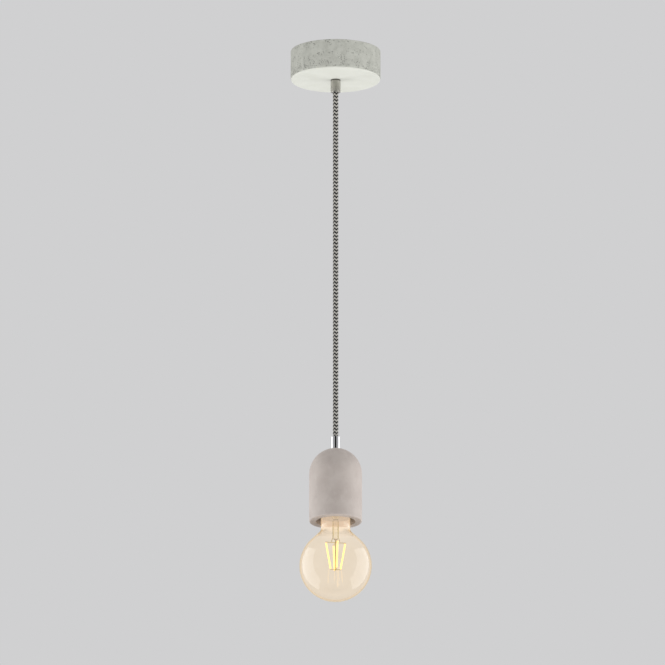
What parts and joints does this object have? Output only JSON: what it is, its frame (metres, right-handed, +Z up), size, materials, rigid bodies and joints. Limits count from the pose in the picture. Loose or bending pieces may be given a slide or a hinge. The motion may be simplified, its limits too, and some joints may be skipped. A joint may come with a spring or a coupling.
{
  "type": "pendant ceiling light",
  "caption": "Pendant ceiling light: round concrete canopy with steel plate, straight textile cord, bullet-shaped concrete lamp shell on a screw lampholder, and an amber globe filament bulb.",
  "frame": {"origin": "centre of the canopy's top face, on the ceiling plane and between the two ceiling screws", "axes": "+Z up into the ceiling, +X along the mounting bracket, -Y towards the viewer; the light hangs along -Z"},
  "size_m": [0.1, 0.1, 0.6372],
  "materials": {
    "concrete_rough": "rough cast concrete, pitted",
    "concrete_smooth": "smooth cast concrete",
    "white_paint": "satin off-white paint",
    "zinc_steel": "zinc-plated steel",
    "nickel": "satin nickel",
    "chrome": "polished chrome",
    "brass": "turned brass",
    "nickelled_brass": "nickel-plated rolled brass",
    "black_plastic": "matt black thermoplastic",
    "white_plastic": "ivory polyamide",
    "ceramic_insert": "steatite",
    "textile_cord": "black and white braided textile",
    "live_core": "brown insulated core",
    "neutral_core": "blue insulated core",
    "earth_core": "green and yellow insulated core",
    "amber_glass": "thin amber glass",
    "clear_glass": "clear glass",
    "black_glass": "black vitrite insulator",
    "filament": "yellow phosphor-coated filament",
    "wire": "bright drawn wire",
    "circuit_board": "green circuit board"
  },
  "bodies": {
    "canopy": {"canopy_ring": "concrete_rough", "canopy_plate": "white_paint", "mounting_bracket": "zinc_steel", "bracket_bush": "brass", "lock_nut": "brass", "toothed_washer": "zinc_steel", "canopy_grip": "nickel", "canopy_grip_screw": "zinc_steel", "terminal_block": "white_plastic", "terminal_clamps": "brass", "terminal_screws": "zinc_steel", "block_screw": "zinc_steel", "earth_screw": "brass", "earth_lug": "nickelled_brass", "live_lead": "live_core", "neutral_lead": "neutral_core", "earth_lead": "earth_core", "cord_tail": "textile_cord"},
    "cord_bend": {"cord_bend": "textile_cord"},
    "pendant": {"cord": "textile_cord", "holder_grip": "chrome", "holder_grip_screw": "zinc_steel", "shell": "concrete_smooth", "holder_cap": "black_plastic", "holder_skirt": "black_plastic", "holder_insert": "ceramic_insert", "holder_terminal_screws": "zinc_steel", "holder_live_lead": "live_core", "holder_neutral_lead": "neutral_core", "centre_contact": "brass", "side_contact": "brass", "thread_sleeve": "nickelled_brass"},
    "bulb_contact": {"bulb_tip_contact": "nickelled_brass"},
    "bulb": {"cap_insulator": "black_glass", "bulb_cap": "nickelled_brass", "bulb_glass": "amber_glass", "bulb_stem": "clear_glass", "support_rod": "wire", "cross_wires": "wire", "filaments": "filament", "lead_wires": "wire", "driver_board": "circuit_board"}
  },
  "joints": [
    {"name": "swing_side", "type": "hinge", "parent": "canopy", "child": "cord_bend", "pos_m": [0, 0, -0.0474], "axis": [0, 1, 0], "range_deg": [-30, 30]},
    {"name": "swing_front", "type": "hinge", "parent": "cord_bend", "child": "pendant", "pos_m": [0, 0, -0.0594], "axis": [1, 0, 0], "range_deg": [-30, 30]},
    {"name": "bulb_lead", "type": "slide", "parent": "pendant", "child": "bulb_contact", "axis": [0, 0, -1], "range_m": [0, 0.01816]},
    {"name": "bulb_turn", "type": "hinge", "parent": "bulb_contact", "child": "bulb", "pos_m": [0, 0, -0.52], "axis": [0, 0, -1], "range_deg": [0, 1800]}
  ],
  "couplings": [
    {"joint": "bulb_lead", "follows": "bulb_turn", "m_per_rad": 0.00057757}
  ]
}
